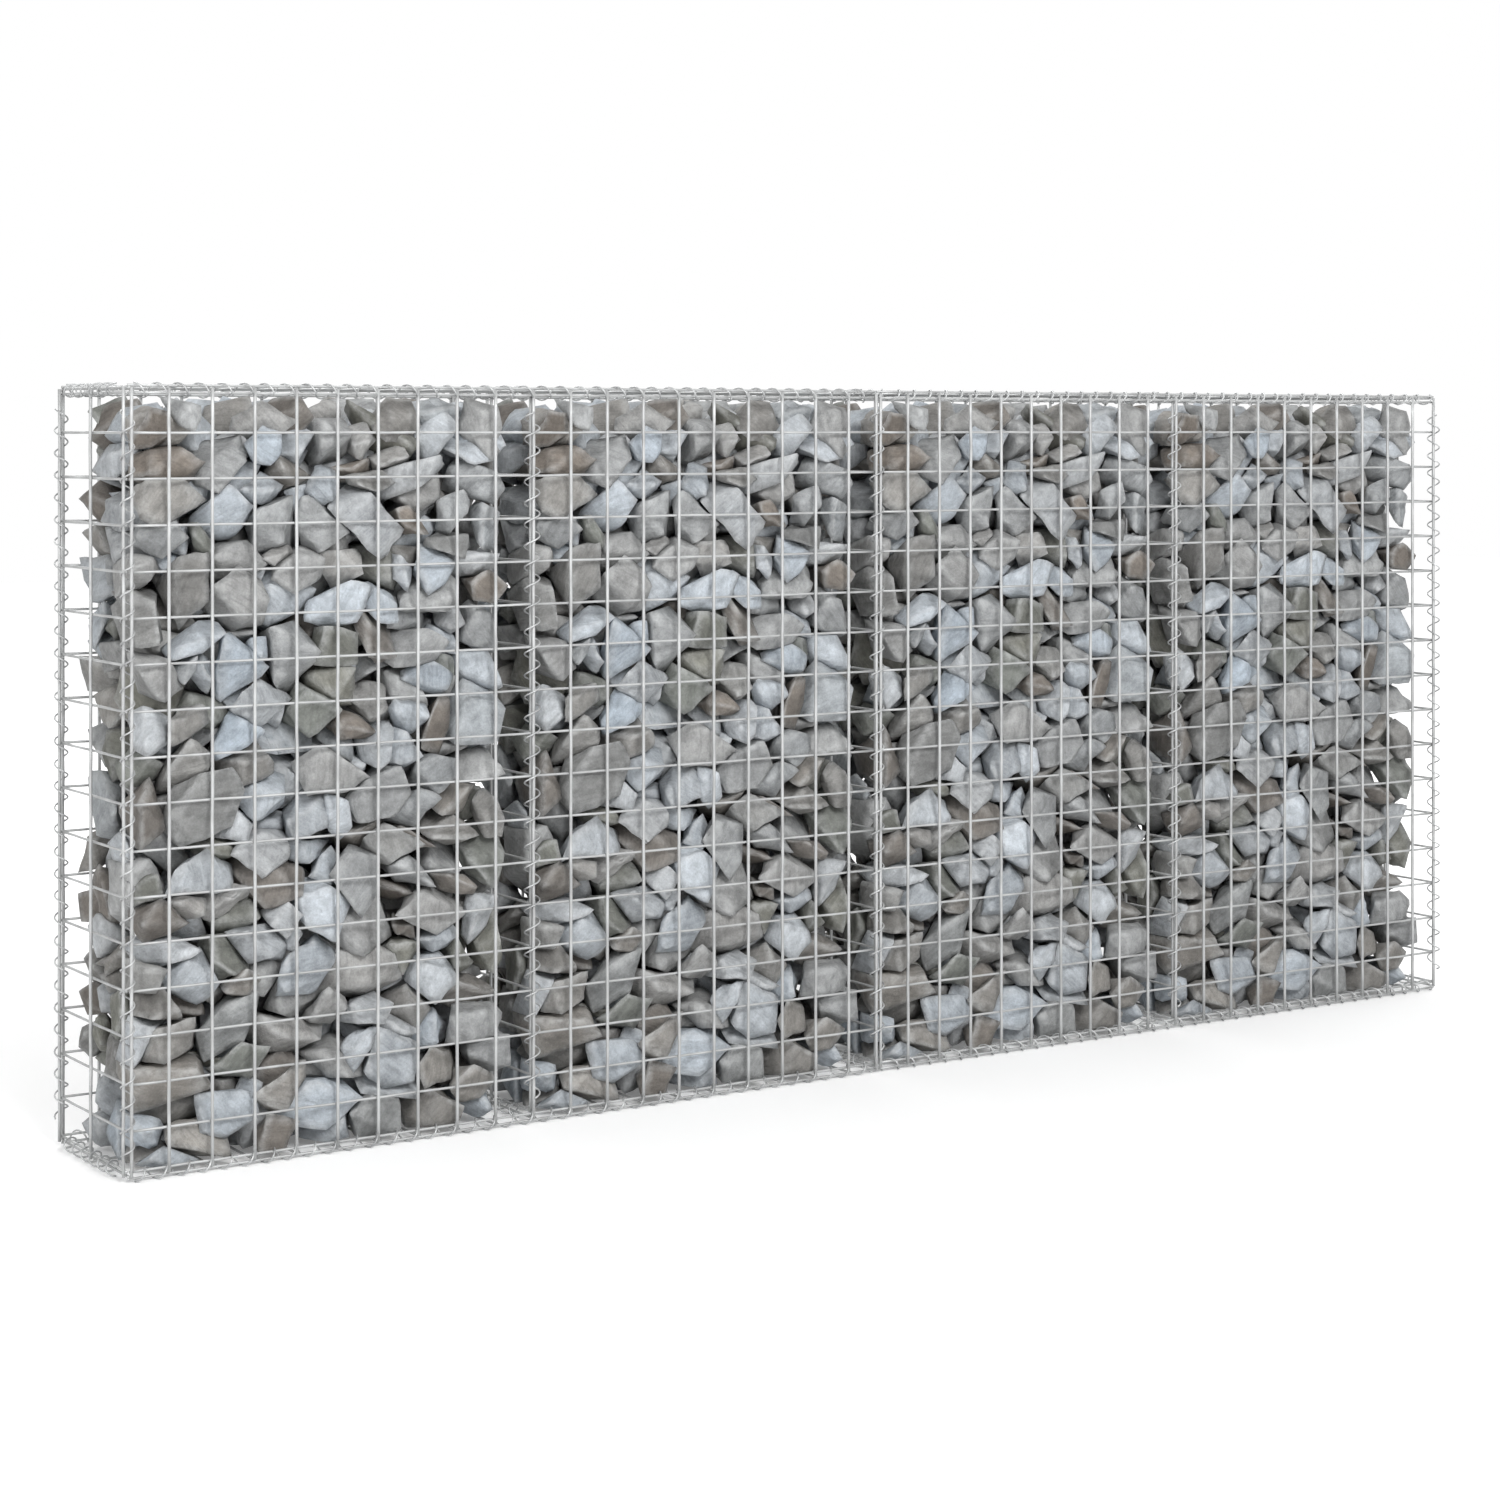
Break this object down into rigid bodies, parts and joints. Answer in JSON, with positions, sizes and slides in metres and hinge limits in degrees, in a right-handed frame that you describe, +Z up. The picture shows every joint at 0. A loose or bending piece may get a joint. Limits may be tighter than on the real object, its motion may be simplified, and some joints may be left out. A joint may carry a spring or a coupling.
{
  "type": "gabion wall",
  "caption": "Long, thin free-standing wall of welded wire mesh baskets laced with wire spirals and filled with angular crushed stone.",
  "frame": {"origin": "centre of the footprint, on the ground", "axes": "+X along the wall, to the right as the front is faced; -Y out of the front; +Z up"},
  "size_m": [2.0052, 0.2202, 0.86],
  "materials": {
    "mesh_wire": "bright galvanised wire, satin",
    "spiral_wire": "galvanised spring wire, satin",
    "stone": "rough crushed stone, blue-grey to brown-grey"
  },
  "bodies": {
    "root": {"front_panel_left": "mesh_wire", "front_panel_right": "mesh_wire", "back_panel_left": "mesh_wire", "back_panel_right": "mesh_wire", "end_panel_left": "mesh_wire", "end_panel_right": "mesh_wire", "divider_1": "mesh_wire", "divider_2": "mesh_wire", "divider_3": "mesh_wire", "floor_panel_left": "mesh_wire", "floor_panel_right": "mesh_wire", "lid_left": "mesh_wire", "lid_right": "mesh_wire", "stone_fill_1": "stone", "stone_fill_2": "stone", "stone_fill_3": "stone", "stone_fill_4": "stone", "corner_spiral_front_left": "spiral_wire", "corner_spiral_front_right": "spiral_wire", "corner_spiral_back_left": "spiral_wire", "corner_spiral_back_right": "spiral_wire", "joint_spiral_front_1": "spiral_wire", "joint_spiral_front_2": "spiral_wire", "joint_spiral_front_3": "spiral_wire", "joint_spiral_back_1": "spiral_wire", "joint_spiral_back_2": "spiral_wire", "joint_spiral_back_3": "spiral_wire", "floor_spirals_front": "spiral_wire", "floor_spirals_back": "spiral_wire", "lid_spirals_front": "spiral_wire", "lid_spirals_back": "spiral_wire", "floor_spiral_left": "spiral_wire", "floor_spiral_right": "spiral_wire", "lid_spiral_left": "spiral_wire", "lid_spiral_right": "spiral_wire", "floor_divider_spirals": "spiral_wire", "lid_divider_spirals": "spiral_wire"}
  },
  "joints": []
}
